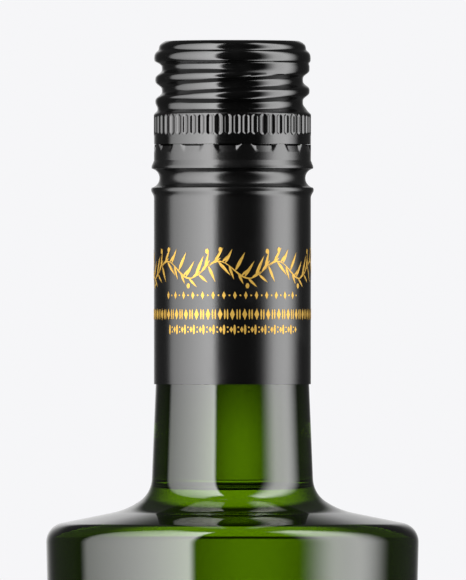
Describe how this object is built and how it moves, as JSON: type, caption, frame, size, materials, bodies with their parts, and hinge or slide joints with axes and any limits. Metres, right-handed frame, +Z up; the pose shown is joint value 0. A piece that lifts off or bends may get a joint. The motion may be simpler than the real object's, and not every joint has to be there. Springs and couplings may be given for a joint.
{
  "type": "glass oil bottle",
  "caption": "Green glass oil bottle with a black roll-on screw cap, a long tamper-evident neck sleeve, a ball-valve pourer and its oil.",
  "frame": {"origin": "centre of the base, in the plane of the bearing ring the bottle stands on", "axes": "+Z up along the bottle's axis, towards the cap; -Y is the front"},
  "size_m": [0.0748, 0.0748, 0.256],
  "materials": {
    "green_glass": "gloss",
    "olive_oil": "clear liquid",
    "natural_polyethylene": "satin, slightly translucent",
    "white_polypropylene": "satin",
    "clear_glass_ball": "gloss",
    "black_lacquered_aluminium": "satin black lacquer",
    "black_gloss_lacquered_aluminium": "gloss black lacquer",
    "liner_film": "thin tin-coloured barrier film",
    "liner_foam": "foamed",
    "gold_foil": "hot-stamped foil"
  },
  "bodies": {
    "bottle": {"glass_bottle": "green_glass", "oil_fill": "olive_oil", "pourer_spout": "natural_polyethylene", "valve_body": "white_polypropylene", "flow_spreader": "white_polypropylene", "neck_sleeve": "black_lacquered_aluminium", "tamper_bridges": "black_lacquered_aluminium"},
    "liner": {"liner_core": "liner_foam", "liner_facing": "liner_film"},
    "cap": {"cap_shell": "black_gloss_lacquered_aluminium"},
    "valve": {"float_valve": "white_polypropylene"},
    "ball": {"valve_ball": "clear_glass_ball"}
  },
  "joints": [
    {"name": "cap_lift", "type": "slide", "parent": "bottle", "child": "liner", "axis": [0, 0, 1], "range_m": [0, 0.019]},
    {"name": "cap_twist", "type": "hinge", "parent": "liner", "child": "cap", "pos_m": [0, 0, 0.2482], "axis": [0, 0, 1], "range_deg": [0, 1530]},
    {"name": "valve_lift", "type": "slide", "parent": "bottle", "child": "valve", "axis": [0, 0, 1], "range_m": [0, 0.0025]},
    {"name": "ball_roll", "type": "slide", "parent": "valve", "child": "ball", "axis": [0, 0, 1], "range_m": [0, 0.0025]}
  ],
  "couplings": [
    {"joint": "cap_lift", "follows": "cap_twist", "m_per_rad": 0.00070983}
  ]
}
